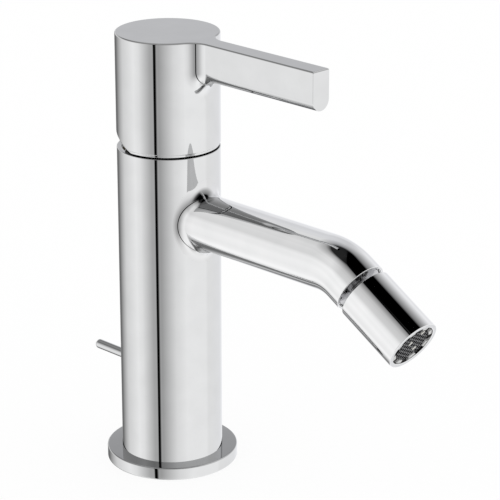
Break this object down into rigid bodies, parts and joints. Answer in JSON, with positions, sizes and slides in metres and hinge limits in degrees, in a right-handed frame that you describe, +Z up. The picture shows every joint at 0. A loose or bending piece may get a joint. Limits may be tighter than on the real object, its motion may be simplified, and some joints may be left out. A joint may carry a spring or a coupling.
{
  "type": "bidet mixer",
  "caption": "Single-lever bidet mixer: round column on a base ring, tubular spout with bent end and swivelling aerator nozzle, flat lever handle, rear lift knob for the waste.",
  "frame": {"origin": "on the column's axis in the deck plane, under the base ring", "axes": "+Z up along the column, spout and lever towards -Y, lift knob towards +Y, X across"},
  "size_m": [0.052, 0.1748, 0.175],
  "materials": {
    "chrome": "polished",
    "brass": "turned",
    "steel": "drawn",
    "rubber": "matte",
    "ceramic": "lapped",
    "cartridge_plastic": "moulded",
    "sleeve_plastic": "moulded",
    "aerator_plastic": "moulded"
  },
  "bodies": {
    "column": {"base_ring": "chrome", "base_seal": "rubber", "body": "chrome", "spout": "chrome", "cartridge_gasket": "rubber", "cartridge_base": "cartridge_plastic", "fixed_disc": "ceramic", "cartridge_housing": "cartridge_plastic", "cartridge_nut": "brass", "dome_cover": "chrome", "stud_seal": "rubber", "ball_stud": "chrome", "rod_guide": "aerator_plastic"},
    "turret": {"turn_sleeve": "sleeve_plastic", "pivot_pin": "steel"},
    "lever_set": {"stem": "steel", "handle": "chrome", "handle_screw": "steel", "handle_plug": "chrome"},
    "disc_set": {"moving_disc": "ceramic", "disc_carrier": "cartridge_plastic"},
    "swivel_shell": {"ball_shell": "cartridge_plastic"},
    "swivel_seal": {"ball_seal": "rubber"},
    "nozzle": {"nozzle_housing": "chrome", "aerator_seal": "rubber", "aerator_cup": "aerator_plastic", "aerator_strainer": "cartridge_plastic", "aerator_jet": "cartridge_plastic", "aerator_grid": "aerator_plastic"},
    "lift": {"lift_rod": "steel", "lift_knob": "chrome"}
  },
  "joints": [
    {"name": "handle_turn", "type": "hinge", "parent": "column", "child": "turret", "pos_m": [0, 0, 0.138], "axis": [0, 0, 1], "range_deg": [-45, 45]},
    {"name": "handle_lift", "type": "hinge", "parent": "turret", "child": "lever_set", "pos_m": [0, 0, 0.138], "axis": [-1, 0, 0], "range_deg": [0, 20]},
    {"name": "disc_slide", "type": "slide", "parent": "turret", "child": "disc_set", "axis": [0, -1, 0], "range_m": [0, 0.0028]},
    {"name": "nozzle_tilt", "type": "hinge", "parent": "column", "child": "swivel_shell", "pos_m": [0, -0.1076, 0.0935], "axis": [1, 0, 0], "range_deg": [-10, 10]},
    {"name": "nozzle_sway", "type": "hinge", "parent": "swivel_shell", "child": "swivel_seal", "pos_m": [0, -0.1076, 0.0935], "axis": [0, -0.5075, 0.8616], "range_deg": [-10, 10]},
    {"name": "nozzle_spin", "type": "hinge", "parent": "swivel_seal", "child": "nozzle", "pos_m": [0, -0.1076, 0.0935], "axis": [0, -0.8616, -0.5075], "continuous": true},
    {"name": "rod_lift", "type": "slide", "parent": "column", "child": "lift", "axis": [0, 0, 1], "range_m": [0, 0.02]}
  ],
  "couplings": [
    {"joint": "disc_slide", "follows": "handle_lift", "m_per_rad": 0.008}
  ]
}
